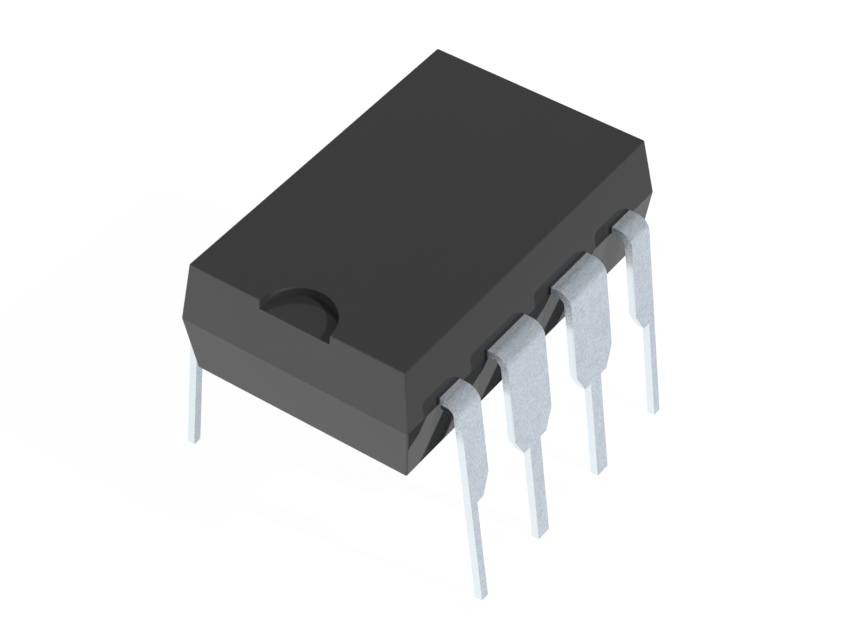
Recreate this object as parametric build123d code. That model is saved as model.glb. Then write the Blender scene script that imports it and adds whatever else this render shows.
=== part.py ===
from build123d import *
import os
from math import cos, radians, tan

# Comparator chip in an eight-lead dual in-line package.
# Frame: origin on the ground under the middle of the body, with the lead tips at Z = 0, +Z up.
# The notched end is at -Y, leads 1 to 4 run from -Y to +Y on the +X side, leads 5 to 8 come back on the -X side.
# All sizes are in millimetres and degrees.

# Heights
standoff = 4.15            # lead tips to the underside of the body
lower_height = 1.62        # underside to the parting line
upper_height = 1.63        # parting line to the top face
frame_rise = 0.05          # parting line to the underside of the lead frame

# Lead rows
leads_per_row = 4
lead_pitch = 2.54
row_span = 7.63            # over the leads' outer faces, at the parting line
splay_angle = 6.1          # each row leans outward by this much
sheet_thickness = 0.20     # the copper sheet that leads and paddle are stamped from
bend_radius = 0.40         # on the outside of the bend
wide_width = 1.47          # the lead above its shoulder
narrow_width = 0.43        # the lead below its shoulder
corner_cut = 0.023         # how far a corner lead reaches past its centre line, towards the body's end
shoulder_height = 2.98     # tips to the shoulder's step
shoulder_taper = 0.54      # height of the taper above the step
shoulder_width = 0.90      # the lead at the foot of the taper

# Moulded body
side_gap = 0.615           # body side to the leads' outer faces, at the parting line
end_margin = 1.16          # last lead's centre line to the end of the body, at the parting line
draft_angle = 7.0
edge_radius = 0.04
notch_radius = 0.98
notch_depth = 0.25
ejector_radius = 0.60      # two round marks in the underside, left by the mould's ejector pins
ejector_depth = 0.06
ejector_spacing = 5.20

# Die paddle and the inner ends of the leads
paddle_width = 2.80        # across, along X
paddle_length = 3.80       # along Y
tie_bar_width = 0.40
finger_width = 0.70
finger_gap = 0.30          # between a lead's inner end and the paddle
finger_offset = 0.90       # corner leads end this far from the middle plane
anchor_radius = 0.20       # hole in each lead that locks it in the compound
anchor_inset = 0.75        # hole to the side of the body

# Die, adhesive and bond wires
die_width = 1.50
die_length = 1.30
die_thickness = 0.28
attach_thickness = 0.03
attach_margin = 0.10       # how far the adhesive squeezes out round the die
pad_inset = 0.13           # bond pads to the die's edge
side_pad_offset = 0.30     # pads of the side leads, from the middle
end_pad_offset = 0.35      # pads of the corner leads, from the middle
wire_diameter = 0.032      # across the flats
wire_sides = 6             # the drawn gold wire is round; flats keep so fine a thing light
ball_diameter = 0.09
ball_height = 0.02
loop_height = 0.20
loop_radius = 0.08
stitch_inset = 0.20        # where a wire lands, from the lead's inner end

# Levels and places that follow from the sizes above
parting_z = standoff + lower_height
top_z = parting_z + upper_height
frame_bottom_z = parting_z + frame_rise
frame_top_z = frame_bottom_z + sheet_thickness
attach_top_z = frame_top_z + attach_thickness
die_top_z = attach_top_z + die_thickness
row_length = (leads_per_row - 1) * lead_pitch
body_width = row_span - 2 * side_gap
body_length = row_length + 2 * end_margin
side_x = body_width / 2
end_y = body_length / 2
draft_slope = tan(radians(draft_angle))
splay_slope = tan(radians(splay_angle))


def half_block(height):
    """One half of the moulded block, upward from the parting line, with drafted walls."""
    return extrude(Rectangle(body_width, body_length), height, taper=draft_angle)


def moulded_block():
    """The package without its inside: two halves, rounded edges, the end notch and the ejector marks."""
    upper = Pos(0, 0, parting_z) * half_block(upper_height)
    lower = Pos(0, 0, parting_z) * mirror(half_block(lower_height), Plane.XY)
    block = upper + lower
    corners = block.edges().filter_by(lambda edge: abs(edge.center().Z - parting_z) > edge_radius)
    block = fillet(corners, edge_radius)
    notch_y = -(end_y - upper_height * draft_slope)
    notch = Pos(0, notch_y, top_z) * Cylinder(notch_radius, 2 * notch_depth)
    block -= notch
    marks = [
        Pos(0, side * ejector_spacing / 2, standoff) * Cylinder(ejector_radius, 2 * ejector_depth)
        for side in (-1, 1)
    ]
    return block - marks


def bent_strip():
    """A lead seen from the end of the chip, at full width: flat in the body, bent down, splayed to its tip."""
    bend_z = frame_top_z - bend_radius
    outer_face_x = row_span / 2 + splay_slope * (parting_z - bend_z)
    bend_x = outer_face_x - bend_radius / cos(radians(splay_angle))
    outer_tip_x = row_span / 2 + splay_slope * parting_z
    inner_tip_x = outer_tip_x - sheet_thickness / cos(radians(splay_angle))
    inner_radius = bend_radius - sheet_thickness
    turn = 90 - splay_angle
    root_x = side_x - sheet_thickness
    with BuildSketch(Plane.XZ) as profile:
        with BuildLine():
            top = Line((root_x, frame_top_z), (bend_x, frame_top_z))
            outer_bend = CenterArc((bend_x, bend_z), bend_radius, splay_angle, turn)
            outer_leg = Line(outer_bend @ 0, (outer_tip_x, 0))
            tip = Line(outer_leg @ 1, (inner_tip_x, 0))
            inner_bend = CenterArc((bend_x, bend_z), inner_radius, splay_angle, turn)
            Line(tip @ 1, inner_bend @ 0)
            under = Line(inner_bend @ 1, (root_x, frame_bottom_z))
            Line(under @ 1, top @ 0)
        make_face()
    return extrude(profile.sketch, wide_width / 2, both=True)


def leg_outline(is_corner):
    """The lead seen from the side of the chip: wide, tapered to the shoulder, stepped to the narrow leg."""
    taper_top = shoulder_height + shoulder_taper
    reach = row_span
    outline = Polygon(
        (-wide_width / 2, top_z),
        (wide_width / 2, top_z),
        (wide_width / 2, taper_top),
        (shoulder_width / 2, shoulder_height),
        (narrow_width / 2, shoulder_height),
        (narrow_width / 2, 0),
        (-narrow_width / 2, 0),
        (-narrow_width / 2, shoulder_height),
        (-shoulder_width / 2, shoulder_height),
        (-wide_width / 2, taper_top),
        align=None,
    )
    blank = extrude(Plane.YZ * outline, reach, dir=(1, 0, 0))
    if is_corner:
        removed = wide_width / 2 - corner_cut
        blank -= Pos(0, corner_cut, 0) * Box(
            2 * reach, removed, 2 * top_z, align=(Align.CENTER, Align.MIN, Align.CENTER)
        )
    return blank


def side_finger():
    """Inner end of a lead in the middle of a row, in plan, from the side of the body to the paddle's gap."""
    tip_x = paddle_width / 2 + finger_gap
    neck_x = side_x - 2 * anchor_inset
    return Polygon(
        (side_x, -wide_width / 2),
        (side_x, wide_width / 2),
        (neck_x + wide_width / 4, wide_width / 2),
        (neck_x, finger_width / 2),
        (tip_x, finger_width / 2),
        (tip_x, -finger_width / 2),
        (neck_x, -finger_width / 2),
        (neck_x + wide_width / 4, -wide_width / 2),
        align=None,
    )


def corner_finger(lead_y, gap):
    """Inner end of a corner lead, in plan: straight in, then slanted to the end of the paddle."""
    tip_y = paddle_length / 2 + gap
    inner_x = finger_offset - finger_width / 2
    outer_x = finger_offset + finger_width / 2
    outside_y = lead_y + corner_cut
    inside_y = lead_y - wide_width / 2
    knee_y = (paddle_length / 2 + finger_gap + inside_y) / 2
    slant = outside_y - knee_y - finger_width / 3
    return Polygon(
        (side_x, outside_y),
        (inner_x + slant, outside_y),
        (inner_x, outside_y - slant),
        (inner_x, tip_y),
        (outer_x, tip_y),
        (outer_x, knee_y),
        (outer_x + inside_y - knee_y, inside_y),
        (side_x, inside_y),
        align=None,
    )


def frame_plate(outline):
    """A flat stamping at the level of the lead frame."""
    return extrude(Pos(0, 0, frame_bottom_z) * outline, sheet_thickness, dir=(0, 0, 1))


def lead(row_place, joins_paddle=False):
    """One lead of the +X row; row_place counts from the notched end. Its foot is at Z = 0."""
    lead_y = row_place * lead_pitch - row_length / 2
    is_corner = row_place in (0, leads_per_row - 1)
    leg = Pos(0, abs(lead_y), 0) * (bent_strip() & leg_outline(is_corner))
    if is_corner:
        gap = 0 if joins_paddle else finger_gap
        finger = frame_plate(corner_finger(abs(lead_y), gap))
        anchor_y = abs(lead_y) - wide_width / 4
    else:
        finger = Pos(0, abs(lead_y), 0) * frame_plate(side_finger())
        anchor_y = abs(lead_y)
    anchor_z = frame_bottom_z + sheet_thickness / 2
    anchor = Pos(side_x - anchor_inset, anchor_y, anchor_z) * Cylinder(anchor_radius, 2 * sheet_thickness)
    piece = leg + finger - anchor
    return piece if lead_y > 0 else mirror(piece, Plane.XZ)


def paddle():
    """The plate under the die, with the tie bar that is sheared off at the plain end of the body."""
    plate = frame_plate(Rectangle(paddle_width, paddle_length))
    bar_end = end_y - frame_rise * draft_slope
    bar = frame_plate(
        Pos(0, paddle_length / 2, 0)
        * Rectangle(tie_bar_width, bar_end - paddle_length / 2, align=(Align.CENTER, Align.MIN))
    )
    return plate + bar


def bond_pad(row_place):
    """Where the wire of a lead of the +X row leaves the die, in plan."""
    far = 1 if row_place >= leads_per_row / 2 else -1
    if row_place in (0, leads_per_row - 1):
        return end_pad_offset, far * (die_length / 2 - pad_inset)
    return die_width / 2 - pad_inset, far * side_pad_offset


def stitch_point(row_place):
    """Where the wire of a lead of the +X row lands on the lead's inner end, in plan."""
    lead_y = row_place * lead_pitch - row_length / 2
    if row_place in (0, leads_per_row - 1):
        far = 1 if lead_y > 0 else -1
        return finger_offset, far * (paddle_length / 2 + finger_gap + stitch_inset)
    return paddle_width / 2 + finger_gap + stitch_inset, lead_y


def bond_wire(row_place):
    """A ball on the die, a rise, one bend, a long fall, and a stitch cut level with the lead's face."""
    pad_x, pad_y = bond_pad(row_place)
    stitch_x, stitch_y = stitch_point(row_place)
    start = Vector(pad_x, pad_y, die_top_z)
    crest = start + Vector(0, 0, loop_height)
    stitch = Vector(stitch_x, stitch_y, frame_top_z)
    past = stitch + (stitch - crest).normalized() * 2 * wire_diameter
    path = FilletPolyline(start, crest, past, radius=loop_radius)
    outward = Vector(stitch_x - pad_x, stitch_y - pad_y, 0)
    section = Plane(origin=start, x_dir=outward, z_dir=(0, 0, 1)) * RegularPolygon(
        wire_diameter / 2, wire_sides, major_radius=False, rotation=180 / wire_sides
    )
    wire = sweep(section, path)
    under = Pos(0, 0, frame_top_z) * Box(
        row_span, body_length, top_z, align=(Align.CENTER, Align.CENTER, Align.MAX)
    )
    ball = Pos(pad_x, pad_y, die_top_z) * Cylinder(
        ball_diameter / 2, ball_height, align=(Align.CENTER, Align.CENTER, Align.MIN)
    )
    return wire - under + ball


def single(shape):
    """The one solid that a piece is made of."""
    solids = shape.solids()
    assert len(solids) == 1, "a piece came apart"
    return solids[0]


nodes = {}

# Leads are numbered down the +X side and back up the -X side, and so are their wires.
for place in range(leads_per_row):
    number = place + 1
    opposite = 2 * leads_per_row - place
    carries_paddle = number == leads_per_row
    if carries_paddle:
        nodes[f"lead_{number}_and_paddle"] = single(lead(place, joins_paddle=True) + paddle())
    else:
        nodes[f"lead_{number}"] = single(lead(place))
    nodes[f"lead_{opposite}"] = single(mirror(lead(place), Plane.YZ))
    nodes[f"bond_wire_{number}"] = single(bond_wire(place))
    nodes[f"bond_wire_{opposite}"] = single(mirror(bond_wire(place), Plane.YZ))

nodes["die_attach"] = single(
    Pos(0, 0, frame_top_z)
    * Box(
        die_width + 2 * attach_margin,
        die_length + 2 * attach_margin,
        attach_thickness,
        align=(Align.CENTER, Align.CENTER, Align.MIN),
    )
)
nodes["comparator_die"] = single(
    Pos(0, 0, attach_top_z)
    * Box(die_width, die_length, die_thickness, align=(Align.CENTER, Align.CENTER, Align.MIN))
)

# The compound fills every space round the pieces inside it.
nodes["moulded_body"] = single(moulded_block() - list(nodes.values()))

os.makedirs("parts", exist_ok=True)
for name, solid in nodes.items():
    export_step(solid, f"parts/{name}.step")
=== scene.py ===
from math import cos, pi, radians, sin

import bmesh
import bpy
from bpy.props import FloatProperty, FloatVectorProperty, PointerProperty
from mathutils import Matrix, Vector


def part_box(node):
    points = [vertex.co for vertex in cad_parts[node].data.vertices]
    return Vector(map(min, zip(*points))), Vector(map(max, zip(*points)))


bl_info = {
    "name": "Comparator Chip",
    "version": (1, 0, 0),
    "blender": (4, 5, 0),
    "location": "3D View > Sidebar > Chip",
    "description": "Finishes of an eight-lead comparator chip, and the studio it is photographed in",
    "category": "Object",
}

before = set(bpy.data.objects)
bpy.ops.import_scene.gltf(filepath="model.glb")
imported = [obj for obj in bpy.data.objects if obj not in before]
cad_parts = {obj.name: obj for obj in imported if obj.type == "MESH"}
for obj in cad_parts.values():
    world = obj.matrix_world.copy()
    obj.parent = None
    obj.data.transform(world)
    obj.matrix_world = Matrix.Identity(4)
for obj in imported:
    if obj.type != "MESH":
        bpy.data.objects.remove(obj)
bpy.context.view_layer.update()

MM = 0.001
BODY = "moulded_body"
DIE = "comparator_die"
ADHESIVE = "die_attach"
LEADS = sorted(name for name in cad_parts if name.startswith("lead_"))
WIRES = sorted(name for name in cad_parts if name.startswith("bond_wire_"))

# Borders between two finishes on one surface
BORDER = 0.004 * MM
WIDE_BORDER = 0.02 * MM
# A face comes to count as one that faces the named way between these shares of its normal
FACES_UP = (0.5, 0.9)
FACES_PARTLY_UP = (0.2, 0.5)
FACES_ALONG = (0.6, 0.9)
# Between these, a face stops being a wall
LIES_FLAT = (0.3, 0.6)
# The outer walls lie beyond these shares of the body's half sizes along X and Y, the notch's wall within
OUTER_X = 0.9
OUTER_Y = 0.95
# Glossy depth between that of a ray mirrored once and that of a ray mirrored twice
ONE_REFLECTION = 1.5
FLOOR_REACH = 0.6
LAMP_DISTANCE = 0.05


class Value:
    """A number that varies over a surface. Arithmetic on it adds Math nodes to its tree."""

    def __init__(self, nodes, socket):
        self.nodes = nodes
        self.socket = socket

    def math(self, operation, first, second=0.0):
        node = self.nodes.node("ShaderNodeMath", {"operation": operation}, {0: first, 1: second})
        return Value(self.nodes, node.outputs[0])

    def __add__(self, other):
        return self.math("ADD", self, other)

    def __sub__(self, other):
        return self.math("SUBTRACT", self, other)

    def __mul__(self, other):
        return self.math("MULTIPLY", self, other)

    def __truediv__(self, other):
        return self.math("DIVIDE", self, other)

    def __rsub__(self, other):
        return self.math("SUBTRACT", other, self)

    def __abs__(self):
        return self.math("ABSOLUTE", self)

    def __gt__(self, other):
        return self.math("GREATER_THAN", self, other)

    def __lt__(self, other):
        return self.math("LESS_THAN", self, other)

    def root(self):
        return self.math("SQRT", self)

    def fract(self):
        return self.math("FRACT", self)

    def larger(self, other):
        return self.math("MAXIMUM", self, other)

    def swing(self, amount):
        """Grain from 0 to 1 as a swing about 0, by half of amount to either side."""
        return (self - 0.5) * amount

    def step(self, low, high):
        """0 below low, 1 above high, and a smooth rise between them."""
        settings = {"interpolation_type": "SMOOTHSTEP"}
        sockets = {"Value": self, "From Min": low, "From Max": high}
        node = self.nodes.node("ShaderNodeMapRange", settings, sockets)
        return Value(self.nodes, node.outputs["Result"])

    __radd__ = __add__
    __rmul__ = __mul__


class Nodes:
    """A tree of shader nodes. Every node is made by node(), and plug() fills a socket."""

    def __init__(self, tree):
        self.tree = tree

    def node(self, kind, settings, sockets):
        made = self.tree.nodes.new(kind)
        for name, setting in settings.items():
            setattr(made, name, setting)
        for name, content in sockets.items():
            self.plug(made.inputs[name], content)
        return made

    def plug(self, socket, content):
        if isinstance(content, Value):
            content = content.socket
        if isinstance(content, bpy.types.NodeSocket):
            self.tree.links.new(content, socket)
        elif socket.type == "RGBA":
            socket.default_value = (*content, 1.0)
        else:
            socket.default_value = content

    def split(self, vector):
        """The X, Y and Z of a vector."""
        outputs = self.node("ShaderNodeSeparateXYZ", {}, {0: vector}).outputs
        return [Value(self, output) for output in outputs]

    def vector(self, operation, first, second=(0.0, 0.0, 0.0)):
        node = self.node("ShaderNodeVectorMath", {"operation": operation}, {0: first, 1: second})
        return node.outputs[0]

    def light_paths(self):
        """1 on rays from the camera or through glass, and 1 on rays that were mirrored only once."""
        paths = self.node("ShaderNodeLightPath", {}, {}).outputs
        direct = Value(self, paths["Is Camera Ray"]).larger(Value(self, paths["Is Transmission Ray"]))
        first = Value(self, paths["Glossy Depth"]) < ONE_REFLECTION
        mirrored = Value(self, paths["Is Glossy Ray"]) * first
        return direct, mirrored


class Finish(Nodes):
    """A procedural material."""

    def __init__(self, name):
        self.material = bpy.data.materials.new(name)
        self.material.use_nodes = True
        super().__init__(self.material.node_tree)
        self.shader = self.tree.nodes["Principled BSDF"]
        self.place = self.node("ShaderNodeTexCoord", {}, {}).outputs["Object"]

    def surface(self, **sockets):
        """Sets the shader's own sockets: base_color=... is its Base Color."""
        for name, content in sockets.items():
            label = name.replace("_", " ").title().replace("Ior", "IOR")
            self.plug(self.shader.inputs[label], content)

    def axes(self):
        """The place on the object along X, Y and Z, in metres."""
        return self.split(self.place)

    def facing(self):
        """The way the surface faces, as a vector."""
        return self.node("ShaderNodeNewGeometry", {}, {}).outputs["Normal"]

    def turned(self, axis, angle):
        """The place on the object, turned about an axis such as X_AXIS."""
        sockets = {"Vector": self.place, "Angle": angle}
        return self.node("ShaderNodeVectorRotate", {"rotation_type": axis}, sockets).outputs[0]

    def noise(self, size, detail=2.0, roughness=0.5, stretch=(1.0, 1.0, 1.0), place=None):
        """Grain from 0 to 1. Its lumps are size metres across, times stretch along each axis."""
        counts = [1.0 / (size * factor) for factor in stretch]
        scaled = self.vector("MULTIPLY", self.place if place is None else place, counts)
        sockets = {"Vector": scaled, "Scale": 1.0, "Detail": detail, "Roughness": roughness}
        return Value(self, self.node("ShaderNodeTexNoise", {}, sockets).outputs[0])

    def mix(self, share, low, high):
        """The colour low where share is 0 and high where it is 1."""
        node = self.node("ShaderNodeMix", {"data_type": "RGBA"}, {0: share, 6: low, 7: high})
        return node.outputs[2]

    def bump(self, height, depth, under=None):
        """A surface normal for relief that rises by depth, in metres, where height goes from 0 to 1."""
        sockets = {"Strength": 1.0, "Distance": depth, "Height": height}
        if under is not None:
            sockets["Normal"] = under
        return self.node("ShaderNodeBump", {}, sockets).outputs["Normal"]

    def leaning(self, along, upward):
        """The surface's normal, leant along Y and upward by shares of its length.

        It turns what a wall mirrors, and leaves its shape as it is.
        """
        lean = self.node("ShaderNodeCombineXYZ", {}, {"Y": along, "Z": upward}).outputs[0]
        return self.vector("NORMALIZE", self.vector("ADD", self.facing(), lean))


def dress(node_names, finish):
    """Gives CAD nodes a finish, in their objects' own material slots."""
    for name in node_names:
        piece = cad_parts[name]
        if not piece.material_slots:
            piece.data.materials.append(finish.material)
        for slot in piece.material_slots:
            slot.link = "OBJECT"
            slot.material = finish.material


def smooth(node_names, angle):
    """Shades bends and fillets round, and leaves edges sharper than angle crisp."""
    for name in node_names:
        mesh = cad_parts[name].data
        mesh.shade_smooth()
        mesh.set_sharp_from_angle(angle=angle)


def soften_edges(node_names, width, angle):
    """Rolls the cut edges over by width, as a press tool leaves them."""
    for name in node_names:
        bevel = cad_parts[name].modifiers.new("rolled_edges", "BEVEL")
        bevel.width = width
        bevel.segments = 2
        bevel.limit_method = "ANGLE"
        bevel.angle_limit = angle
        bevel.use_clamp_overlap = False
        bevel.harden_normals = True


def size_prop(name, description, millimetres, least=0.0):
    return FloatProperty(
        name=name,
        description=description,
        default=millimetres * MM,
        min=least * MM,
        unit="LENGTH",
        precision=6,
    )


def level_prop(name, description, level, top=1.0):
    return FloatProperty(name=name, description=description, default=level, min=0.0, max=top, precision=3)


def angle_prop(name, description, degrees):
    return FloatProperty(name=name, description=description, default=radians(degrees), subtype="ANGLE")


def colour_prop(name, description, colour):
    return FloatVectorProperty(
        name=name, description=description, default=colour, min=0.0, max=1.0, subtype="COLOR"
    )


def direction_prop(name, description, direction):
    return FloatVectorProperty(name=name, description=description, default=direction, subtype="DIRECTION")


class BodySettings(bpy.types.PropertyGroup):
    """The moulded body's finish"""

    colour: colour_prop("Compound", "Colour of the moulding compound", (0.077, 0.077, 0.077))
    contrast: level_prop("Contrast", "How far grain and speckle lighten and darken that colour", 0.2)
    roughness: level_prop("Roughness", "Roughness of the moulded skin", 0.03)
    shine: level_prop("Shine", "Strength of the skin's reflections", 0.2)
    upper_lean: level_prop("Upper walls", "How far the reflections in the upper walls stand up", 0.16)
    lower_lean: level_prop("Lower walls", "How far the reflections in the lower walls stand up", 0.06)
    lower_skew: level_prop("Lower walls, along", "How far those reflections turn to the plain end", 0.03)
    grain: size_prop("Grain", "Size of the grain that the mould leaves", 0.035)
    filler: size_prop("Filler", "Size of the silica filler's speckle", 0.012)
    flow: size_prop("Flow", "Size of the clouds that the compound's flow leaves", 2.1)
    relief: size_prop("Relief", "Height of the grain", 0.00002)
    pin_radius: size_prop("Pin marks", "Radius of the marks that the ejector pins leave", 0.60)
    pin_spacing: size_prop("Pin spacing", "Distance between the two ejector pins", 5.20)
    pin_depth: size_prop("Pin marks' depth", "How far above the underside the marks reach", 0.10)
    pin_roughness: level_prop("Pin marks' roughness", "How much rougher the marks are than the skin", 0.1)


class LeadSettings(bpy.types.PropertyGroup):
    """The finish of the leads and of the paddle"""

    tin: colour_prop("Tin", "Colour of the tin plate", (0.84, 0.925, 1.0))
    dull_tin: colour_prop("Dull tin", "Colour of the tin plate's dull grains", (0.575, 0.645, 0.725))
    # Partly painted highlight: the sheared edges are real, but their colour is set lighter than the tin
    # so that the side faces show as if lit
    sheared_and_highlit: colour_prop("Sheared edges", "Colour of the bright sheared edges", (0.87, 0.95, 1.0))
    copper: colour_prop("Copper", "Colour of the bare copper alloy inside the body", (0.78, 0.42, 0.27))
    silver: colour_prop("Silver", "Colour of the silver plate under the wires", (0.86, 0.85, 0.82))
    roughness: level_prop("Roughness", "Roughness of the tin plate", 0.46)
    sheared_roughness: level_prop("Sheared roughness", "Roughness of the straight sheared edges", 0.26)
    metal: level_prop("Metallic shine", "Share of the light that the tin mirrors as a metal does", 0.75)
    sheared_metal: level_prop("Sheared shine", "The same share on the sheared edges", 0.88)
    rolling: angle_prop("Rolling marks", "Slope of the sheet's rolling marks across a lead", 72.0)
    grain: size_prop("Grain", "Size of the tin's grain", 0.06)
    relief: size_prop("Relief", "Height of the tin's grain", 0.004)
    # Painted shade: each lead is coloured like the compound, dark and not metallic, in a band where it
    # leaves the body, standing in for the shade at that joint. These three settings size that band.
    root_shade_reach: size_prop("Resin film", "How far the resin film at each root reaches from the body", 0.05)
    root_shade_depth: size_prop("Film's depth", "How far that film goes on inside the body's side", 0.10)
    root_shade_roughness: level_prop("Film's roughness", "How much rougher the film is than the tin", 0.2)
    root_start: size_prop("Dull root", "How far from the body's side the upper face is dullest", 0.10)
    root_end: size_prop("Dull root's end", "How far from the body's side that face is bright again", 0.45)
    root_dullness: level_prop("Root's dullness", "Share of the metallic shine that a root lacks", 0.8)
    strain_height: size_prop("Strained edges", "Height above which bending has pitted the edges", 5.2)
    strain_fade: size_prop("Strain's fade", "Height over which those pits fade away downward", 0.4)
    pitting: level_prop("Pitting", "How dull those pits are", 0.8)
    edge_roll: size_prop("Rolled edges", "How far the stamped edges are rolled over", 0.018)
    silver_reach: size_prop("Silver spot", "Half width of the lead frame's silver plated middle", 2.05)


class InsideSettings(bpy.types.PropertyGroup):
    """The finish of the die, its adhesive and the bond wires"""

    silicon: colour_prop("Silicon", "Colour of the die's sawn sides", (0.10, 0.11, 0.13))
    circuit: colour_prop("Circuit", "Colour of the circuit under its clear coat", (0.16, 0.20, 0.17))
    metal: colour_prop("Metal tracks", "Colour of the aluminium tracks", (0.80, 0.80, 0.82))
    adhesive: colour_prop("Adhesive", "Colour of the silver-filled adhesive", (0.62, 0.61, 0.59))
    gold: colour_prop("Gold", "Colour of the bond wires", (0.92, 0.68, 0.28))
    track: size_prop("Tracks", "Spacing of the circuit's tracks", 0.06)
    edge: size_prop("Die's edge", "Width of the bare silicon round the circuit", 0.06)
    saw: size_prop("Saw marks", "Width of the saw's marks in the die's sides", 0.004)
    sawn_roughness: level_prop("Sawn roughness", "Roughness of the die's sides", 0.45)
    polished_roughness: level_prop("Polished roughness", "Roughness of the die's top", 0.20)
    flake: size_prop("Flakes", "Size of the adhesive's silver flakes", 0.012)
    lump: size_prop("Lumps", "Size of the adhesive's lumps", 0.08)
    drawing: size_prop("Drawing marks", "Width of the marks along a drawn wire", 0.003)


class StageSettings(bpy.types.PropertyGroup):
    """The camera, the lamps, the surroundings and the floor"""

    azimuth: angle_prop("Azimuth", "Camera round the chip, from the notched end to leads 1 to 4", 36.385)
    elevation: angle_prop("Elevation", "Camera above the horizon", 43.773)
    roll: angle_prop("Roll", "Camera about its own line of sight", -0.631)
    distance: size_prop("Distance", "Camera to the middle of the body's parting plane", 66.503)
    aside: size_prop("Aside", "Camera moved to its right", 0.0878, least=-100.0)
    above: size_prop("Above", "Camera moved up", -1.5623, least=-100.0)
    lens: FloatProperty(name="Lens", description="Focal length, 36 mm sensor", default=120.18, min=1.0)
    parting: size_prop("Parting plane", "Height of the body's parting plane", 5.77)
    zenith: level_prop("Overhead light", "Brightness of the studio overhead", 0.12)
    horizon: level_prop("Side light", "Brightness of the studio at the horizon", 0.7)
    mirrored: level_prop("Reflected walls", "Brightness of the studio's walls in a reflection", 0.5)
    mirrored_floor: level_prop("Reflected floor", "Share of the floor's brightness in a reflection", 0.9)
    top_lamp: level_prop("Top lamp", "Brightness of the lamp above, to the right", 0.32, top=10.0)
    top_side: direction_prop("Top lamp's side", "Direction to that lamp", (0.75, 0.15, 0.64))
    top_width: angle_prop("Top lamp's width", "Width of that lamp as the chip sees it", 3.0)
    front_lamp: level_prop("Front lamp", "Brightness of the low lamp in front", 0.92, top=10.0)
    front_side: direction_prop("Front lamp's side", "Direction to that lamp", (-0.12, -0.955, -0.27))
    front_width: angle_prop("Front lamp's width", "Width of that lamp as the chip sees it", 5.0)
    floor: level_prop("Floor", "Brightness of the floor where nothing shades it", 0.95)
    floor_shade: level_prop("Floor shade", "How much of the floor's brightness the chip can shade", 0.2)
    floor_paper: level_prop("Floor's paper", "How much light the floor throws back on to the chip", 0.12)


class CHIP_OT_body(bpy.types.Operator):
    """Finishes the moulded body"""

    bl_idname = "chip.body"
    bl_label = "Moulded body"

    def execute(self, context):
        wanted = context.scene.chip_body
        finish = Finish("mould_compound")
        grain = finish.noise(wanted.grain, detail=3.0, roughness=0.6)
        speckle = finish.noise(wanted.filler, detail=1.0)
        flow = finish.noise(wanted.flow, detail=2.0, stretch=(1.0, 2.5, 1.0))
        light = flow.swing(0.14) + grain.swing(0.22) + speckle.swing(0.16) + 0.5
        dark_side = [(1 - wanted.contrast) * part for part in wanted.colour]
        pale_side = [(1 + wanted.contrast) * part for part in wanted.colour]
        pin_mark = self.find_pin_marks(finish, wanted)
        leaning = self.lean_walls(finish, wanted, context.scene.chip_stage.parting)
        finish.surface(
            base_color=finish.mix(light, dark_side, pale_side),
            roughness=grain.swing(0.02) + wanted.roughness + pin_mark * wanted.pin_roughness,
            specular_ior_level=wanted.shine,
            normal=finish.bump(grain + speckle * 0.4, wanted.relief, leaning),
        )
        dress([BODY], finish)
        smooth([BODY], radians(30))
        return {"FINISHED"}

    def find_pin_marks(self, finish, wanted):
        """1 on the two round marks in the underside."""
        x, y, z = finish.axes()
        past_pin = abs(y) - wanted.pin_spacing / 2
        from_pin = (past_pin * past_pin + x * x).root()
        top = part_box(BODY)[0].z + wanted.pin_depth
        low = 1 - z.step(top - WIDE_BORDER, top + WIDE_BORDER)
        rim = wanted.pin_radius + 0.01 * MM
        return (1 - from_pin.step(wanted.pin_radius, rim)) * low

    def lean_walls(self, finish, wanted, parting):
        """Normals that lean on the outer walls, which then mirror the leads where the real walls do."""
        x, y, z = finish.axes()
        facing_z = finish.split(finish.facing())[2]
        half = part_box(BODY)[1]
        outer = (abs(x) > OUTER_X * half.x).larger(abs(y) > OUTER_Y * half.y)
        wall = (1 - abs(facing_z).step(*LIES_FLAT)) * outer
        upper = z > parting
        upward = (upper * (wanted.upper_lean - wanted.lower_lean) + wanted.lower_lean) * wall
        along = (1 - upper) * wanted.lower_skew * wall
        return finish.leaning(along, upward)


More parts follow.
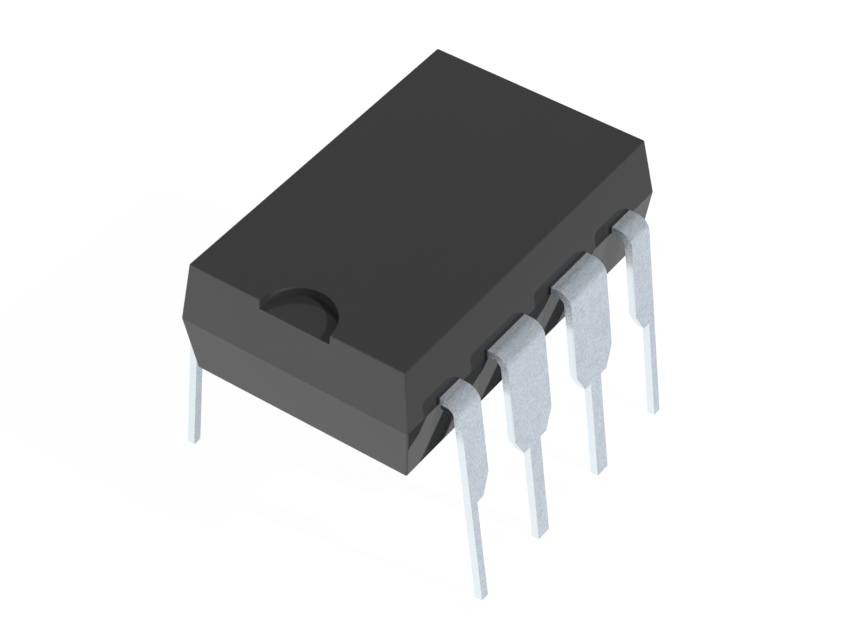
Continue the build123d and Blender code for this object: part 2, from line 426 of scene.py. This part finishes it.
class CHIP_OT_leads(bpy.types.Operator):
    """Finishes the eight leads, with the die paddle that is one piece with the fourth"""

    bl_idname = "chip.leads"
    bl_label = "Leads and paddle"

    def execute(self, context):
        wanted = context.scene.chip_leads
        finish = Finish("tinned_copper")
        x, _, z = finish.axes()
        _, facing_y, facing_z = finish.split(finish.facing())
        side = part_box(BODY)[1].x
        # Painted shade: the compound's dark colour on each lead's root, from inside the body's side to
        # just beyond it, where shade falls at the joint
        root_shade_end = side + wanted.root_shade_reach
        root_shade_start = side - wanted.root_shade_depth
        outside = abs(x).step(root_shade_end - BORDER, root_shade_end + BORDER)
        painted_root_shade = (1 - outside) * abs(x).step(root_shade_start - WIDE_BORDER, root_shade_start)
        past_root = abs(x).step(side + wanted.root_start, side + wanted.root_end)
        root = (1 - past_root) * facing_z.step(*FACES_UP)
        grain = finish.noise(wanted.grain, detail=1.0)
        cloud = finish.noise(8 * wanted.grain, detail=2.0)
        slanted = finish.turned("X_AXIS", wanted.rolling)
        rolled = finish.noise(0.5 * wanted.grain, detail=1.0, stretch=(1.0, 1.0, 6.0), place=slanted)
        drawn = finish.noise(0.5 * wanted.grain, detail=2.0, stretch=(1.0, 10.0, 1.0))
        bend = facing_z.step(*FACES_PARTLY_UP)
        # Partly painted highlight: the faces along Y are the sheared edges, and they take the lighter
        # sheared colour, which stands in for light on those sides
        sheared_and_highlit = abs(facing_y).step(*FACES_ALONG)
        strained = sheared_and_highlit * z.step(wanted.strain_height - wanted.strain_fade, wanted.strain_height)
        flat = grain.swing(1.6) + rolled.swing(1.2)
        mottle = flat * (1 - bend * 0.3) + drawn.swing(1.4) * bend + cloud.swing(0.5) + 0.5
        pits = 0.2 - grain.swing(5.0)
        plate = finish.mix(mottle, wanted.dull_tin, wanted.tin)
        bright = finish.mix(strained * pits * wanted.pitting, wanted.sheared_and_highlit, wanted.dull_tin)
        tin = finish.mix(sheared_and_highlit, plate, bright)
        compound = context.scene.chip_body.colour
        silver_end = wanted.silver_reach + 0.03 * MM
        spot = 1 - abs(x).step(wanted.silver_reach, silver_end)
        inside = finish.mix(spot, wanted.copper, wanted.silver)
        metal = finish.mix(outside, inside, tin)
        shine = sheared_and_highlit * (wanted.sheared_metal - wanted.metal) + wanted.metal
        smoothness = sheared_and_highlit * (1 - strained) * (wanted.roughness - wanted.sheared_roughness)
        relief = (grain + rolled * 0.5) * (1 - bend * 0.5) + drawn * bend * 0.6
        # Base Color and Metallic below paint that root shade
        finish.surface(
            base_color=finish.mix(painted_root_shade, metal, compound),
            metallic=(1 - painted_root_shade) * shine * (1 - root * wanted.root_dullness),
            roughness=grain.swing(0.2) + wanted.roughness + painted_root_shade * wanted.root_shade_roughness - smoothness,
            normal=finish.bump(relief * (1 - sheared_and_highlit * 0.8 + strained * 0.6), wanted.relief),
        )
        dress(LEADS, finish)
        smooth(LEADS, radians(30))
        soften_edges(LEADS, wanted.edge_roll, radians(40))
        return {"FINISHED"}


class CHIP_OT_die(bpy.types.Operator):
    """Finishes the silicon die and the adhesive under it"""

    bl_idname = "chip.die"
    bl_label = "Die and adhesive"

    def execute(self, context):
        wanted = context.scene.chip_inside
        self.finish_silicon(wanted)
        self.finish_adhesive(wanted)
        return {"FINISHED"}

    def finish_silicon(self, wanted):
        finish = Finish("silicon")
        x, y, _ = finish.axes()
        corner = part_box(DIE)[1]
        top = finish.split(finish.facing())[2].step(0.5, 0.6)
        end_x = corner.x - wanted.edge
        end_y = corner.y - wanted.edge
        field = (1 - abs(x).step(end_x, end_x + BORDER)) * (1 - abs(y).step(end_y, end_y + BORDER))
        rows = abs((y / wanted.track).fract() - 0.5).step(0.2, 0.3)
        columns = abs((x / (3 * wanted.track)).fract() - 0.5).step(0.35, 0.45)
        blocks = finish.noise(4 * wanted.track, detail=0.0).step(0.45, 0.55)
        tracks = rows * blocks + columns * (1 - blocks)
        saw = finish.noise(wanted.saw, detail=2.0, stretch=(1.0, 1.0, 30.0))
        circuit = finish.mix(tracks, wanted.circuit, wanted.metal)
        roughness = top * (wanted.polished_roughness - wanted.sawn_roughness) + wanted.sawn_roughness
        finish.surface(
            base_color=finish.mix(top * field, wanted.silicon, circuit),
            metallic=top * field * tracks * 0.8,
            roughness=roughness + saw.swing(0.2) * (1 - top),
            normal=finish.bump(tracks * top * field + saw * (1 - top), 0.001 * MM),
        )
        dress([DIE], finish)

    def finish_adhesive(self, wanted):
        finish = Finish("silver_adhesive")
        flakes = finish.noise(wanted.flake, detail=2.0, roughness=0.7)
        lumps = finish.noise(wanted.lump, detail=2.0)
        bright = flakes.step(0.45, 0.62)
        dim = [0.55 * part for part in wanted.adhesive]
        finish.surface(
            base_color=finish.mix(bright, dim, wanted.adhesive),
            metallic=bright * 0.9,
            roughness=0.6 - bright * 0.25,
            normal=finish.bump(flakes * 0.4 + lumps, 0.5 * wanted.flake),
        )
        dress([ADHESIVE], finish)


class CHIP_OT_wires(bpy.types.Operator):
    """Finishes the eight gold bond wires"""

    bl_idname = "chip.wires"
    bl_label = "Bond wires"

    def execute(self, context):
        wanted = context.scene.chip_inside
        finish = Finish("gold_wire")
        drawn = finish.noise(wanted.drawing, detail=2.0, stretch=(1.0, 1.0, 20.0))
        warm = [part * factor for part, factor in zip(wanted.gold, (0.95, 0.88, 0.75))]
        finish.surface(
            base_color=finish.mix(drawn, warm, wanted.gold),
            metallic=1.0,
            roughness=0.18 + drawn * 0.12,
            normal=finish.bump(drawn, 0.0004 * MM),
        )
        dress(WIRES, finish)
        smooth(WIRES, radians(50))
        return {"FINISHED"}


class CHIP_OT_stage(bpy.types.Operator):
    """Makes the pale floor, the studio's light and the camera"""

    bl_idname = "chip.stage"
    bl_label = "Studio"

    def execute(self, context):
        wanted = context.scene.chip_stage
        self.make_floor(wanted)
        self.light_surroundings(context.scene, wanted)
        self.make_lamp("top_lamp", wanted.top_side, wanted.top_lamp, wanted.top_width)
        self.make_lamp("front_lamp", wanted.front_side, wanted.front_lamp, wanted.front_width)
        self.place_camera(context.scene, wanted)
        context.scene.view_settings.view_transform = "Standard"
        return {"FINISHED"}

    def make_floor(self, wanted):
        """A white floor that takes a faint shadow and lets the low lamp's light through from below."""
        mesh = bpy.data.meshes.new("studio_floor")
        form = bmesh.new()
        bmesh.ops.create_grid(form, x_segments=1, y_segments=1, size=FLOOR_REACH)
        form.to_mesh(mesh)
        form.free()
        floor = bpy.data.objects.new("studio_floor", mesh)
        bpy.context.scene.collection.objects.link(floor)
        floor.visible_shadow = False
        finish = Finish("pale_floor")
        direct, mirrored = finish.light_paths()
        paper = finish.node("ShaderNodeBsdfDiffuse", {}, {"Color": [wanted.floor_paper] * 3})
        shaded = finish.node("ShaderNodeBsdfDiffuse", {}, {"Color": [wanted.floor_shade] * 3})
        white = (1.0, 1.0, 1.0)
        glow = finish.node("ShaderNodeEmission", {}, {"Color": white, "Strength": wanted.floor})
        bright = finish.node("ShaderNodeAddShader", {}, {0: shaded.outputs[0], 1: glow.outputs[0]})
        seen = direct.larger(mirrored * wanted.mirrored_floor)
        shaders = {0: seen, 1: paper.outputs[0], 2: bright.outputs[0]}
        front = finish.node("ShaderNodeMixShader", {}, shaders)
        back = finish.node("ShaderNodeBsdfTransparent", {}, {})
        behind = finish.node("ShaderNodeNewGeometry", {}, {}).outputs["Backfacing"]
        shaders = {0: behind, 1: front.outputs[0], 2: back.outputs[0]}
        both = finish.node("ShaderNodeMixShader", {}, shaders)
        finish.plug(finish.tree.nodes["Material Output"].inputs["Surface"], both.outputs[0])
        finish.tree.nodes.remove(finish.shader)
        floor.data.materials.append(finish.material)

    def light_surroundings(self, scene, wanted):
        """A studio that is white to the camera, dimmer in a reflection, and pale at its sides."""
        world = bpy.data.worlds.new("studio")
        scene.world = world
        world.use_nodes = True
        world.node_tree.nodes.clear()
        nodes = Nodes(world.node_tree)
        height = nodes.split(nodes.node("ShaderNodeTexCoord", {}, {}).outputs["Generated"])[2]
        rise = height.step(0.0, 0.8)
        ambient = (rise * (wanted.zenith - wanted.horizon) + wanted.horizon) * (height > 0.0)
        direct, mirrored = nodes.light_paths()
        hidden = (1 - direct) * (1 - mirrored)
        strength = direct + mirrored * wanted.mirrored + hidden * ambient
        light = nodes.node("ShaderNodeBackground", {}, {"Color": (1.0, 1.0, 1.0), "Strength": strength})
        nodes.node("ShaderNodeOutputWorld", {}, {"Surface": light.outputs[0]})

    def make_lamp(self, name, towards, brightness, spread):
        """A far lamp. At brightness 1, a white face that it meets squarely shows as white."""
        light = bpy.data.lights.new(name, "SUN")
        light.energy = pi * brightness
        light.angle = spread
        lamp = bpy.data.objects.new(name, light)
        bpy.context.scene.collection.objects.link(lamp)
        lamp.location = LAMP_DISTANCE * Vector(towards).normalized()
        lamp.rotation_mode = "QUATERNION"
        lamp.rotation_quaternion = Vector(towards).to_track_quat("Z", "Y")
        lamp.visible_glossy = False

    def place_camera(self, scene, wanted):
        """A camera that faces the middle of the parting plane, then moves aside and up."""
        around, up_angle, roll = wanted.azimuth, wanted.elevation, wanted.roll
        back = Vector((sin(around) * cos(up_angle), -cos(around) * cos(up_angle), sin(up_angle)))
        level = Vector((cos(around), sin(around), 0.0))
        upright = back.cross(level)
        right = level * cos(roll) + upright * sin(roll)
        up = upright * cos(roll) - level * sin(roll)
        camera = bpy.data.cameras.new("photo_camera")
        camera.lens = wanted.lens
        camera.sensor_width = 36.0
        camera.clip_start = 5 * MM
        camera.clip_end = 2.0
        eye = bpy.data.objects.new("photo_camera", camera)
        scene.collection.objects.link(eye)
        middle = Vector((0.0, 0.0, wanted.parting))
        place = middle + back * wanted.distance + right * wanted.aside + up * wanted.above
        turn = Matrix((right, up, back)).transposed().to_4x4()
        eye.matrix_world = Matrix.Translation(place) @ turn
        scene.camera = eye


class CHIP_PT_panel(bpy.types.Panel):
    """The chip's finishes and its studio"""

    bl_label = "Comparator chip"
    bl_idname = "CHIP_PT_panel"
    bl_space_type = "VIEW_3D"
    bl_region_type = "UI"
    bl_category = "Chip"

    def draw(self, context):
        groups = (
            (context.scene.chip_stage, CHIP_OT_stage),
            (context.scene.chip_body, CHIP_OT_body),
            (context.scene.chip_leads, CHIP_OT_leads),
            (context.scene.chip_inside, CHIP_OT_die),
            (None, CHIP_OT_wires),
        )
        for settings, operator in groups:
            box = self.layout.box()
            box.operator(operator.bl_idname)
            if settings is not None:
                for name in settings.bl_rna.properties.keys():
                    if name not in ("rna_type", "name"):
                        box.prop(settings, name)


CLASSES = (
    BodySettings,
    LeadSettings,
    InsideSettings,
    StageSettings,
    CHIP_OT_body,
    CHIP_OT_leads,
    CHIP_OT_die,
    CHIP_OT_wires,
    CHIP_OT_stage,
    CHIP_PT_panel,
)
GROUPS = {
    "chip_body": BodySettings,
    "chip_leads": LeadSettings,
    "chip_inside": InsideSettings,
    "chip_stage": StageSettings,
}


def register():
    for cls in CLASSES:
        bpy.utils.register_class(cls)
    for name, group in GROUPS.items():
        setattr(bpy.types.Scene, name, PointerProperty(type=group))


def unregister():
    for name in GROUPS:
        delattr(bpy.types.Scene, name)
    for cls in reversed(CLASSES):
        bpy.utils.unregister_class(cls)


def main():
    register()
    bpy.ops.chip.stage()
    bpy.ops.chip.body()
    bpy.ops.chip.leads()
    bpy.ops.chip.die()
    bpy.ops.chip.wires()


if __name__ == "__main__":
    main()
